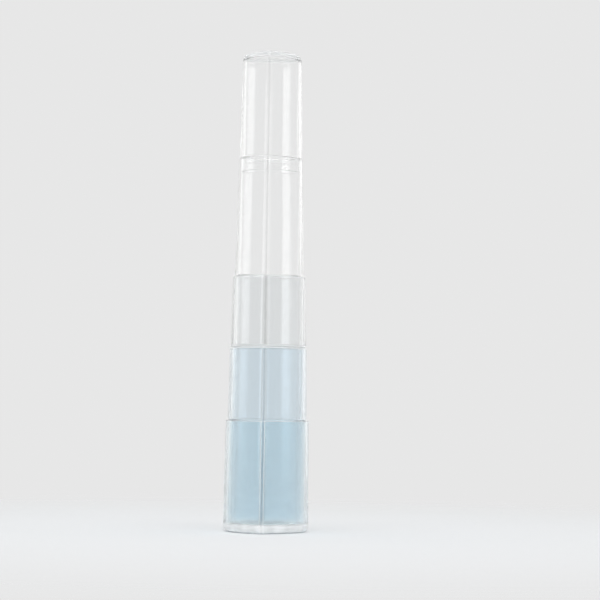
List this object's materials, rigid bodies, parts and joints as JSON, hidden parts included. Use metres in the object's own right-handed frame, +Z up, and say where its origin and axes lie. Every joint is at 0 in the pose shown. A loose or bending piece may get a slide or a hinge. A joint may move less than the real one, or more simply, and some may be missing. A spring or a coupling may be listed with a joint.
{
  "type": "toothbrush holder",
  "caption": "Upright clear plastic toothbrush holder: a stepped rounded-triangle tube whose closed cap lifts off a standing base.",
  "frame": {"origin": "middle of the flat underside of the foot cup, on the upright axis that the cap lifts along", "axes": "+Z up the holder to its closed top, -Y to the front ridge of the rounded-triangle section, +X to the right seen from that ridge"},
  "size_m": [0.0368, 0.0367, 0.205],
  "materials": {
    "base_plastic": "clear moulded plastic with a faint haze",
    "cap_plastic": "clear glossy moulded plastic"
  },
  "bodies": {
    "base": {"foot_cup": "base_plastic", "middle_sleeve": "base_plastic", "brush_tube": "base_plastic"},
    "cap": {"cap_sleeve": "cap_plastic", "cap_top": "cap_plastic"}
  },
  "joints": [
    {"name": "cap_lift", "type": "slide", "parent": "base", "child": "cap", "axis": [0, 0, 1], "range_m": [0, 0.12]}
  ]
}
